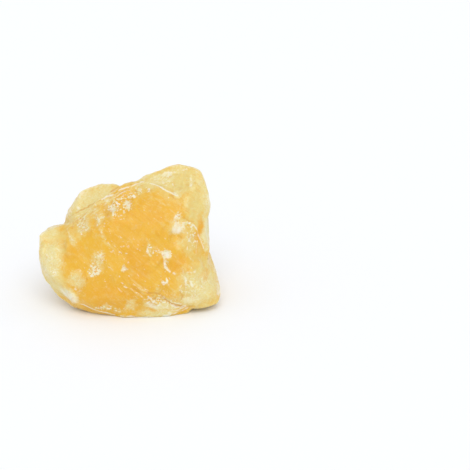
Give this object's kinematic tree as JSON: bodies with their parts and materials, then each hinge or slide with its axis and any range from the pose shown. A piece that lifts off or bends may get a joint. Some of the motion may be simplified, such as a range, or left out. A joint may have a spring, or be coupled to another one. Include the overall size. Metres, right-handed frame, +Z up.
{
  "type": "orange calcite chunk",
  "caption": "Rough raw chunk of orange calcite with broken cleavage faces and a raised peak at one end, resting on a flat broken face.",
  "frame": {"origin": "middle of the chunk's box, at the height of the surface it rests on", "axes": "+Z up; +X towards the chunk's peak, along its length; -Y towards its domed orange face"},
  "size_m": [0.0498, 0.0342, 0.0381],
  "materials": {
    "orange_calcite": "waxy broken faces, cloudy and faintly see-through at thin edges"
  },
  "bodies": {
    "root": {"calcite_chunk": "orange_calcite"}
  },
  "joints": []
}
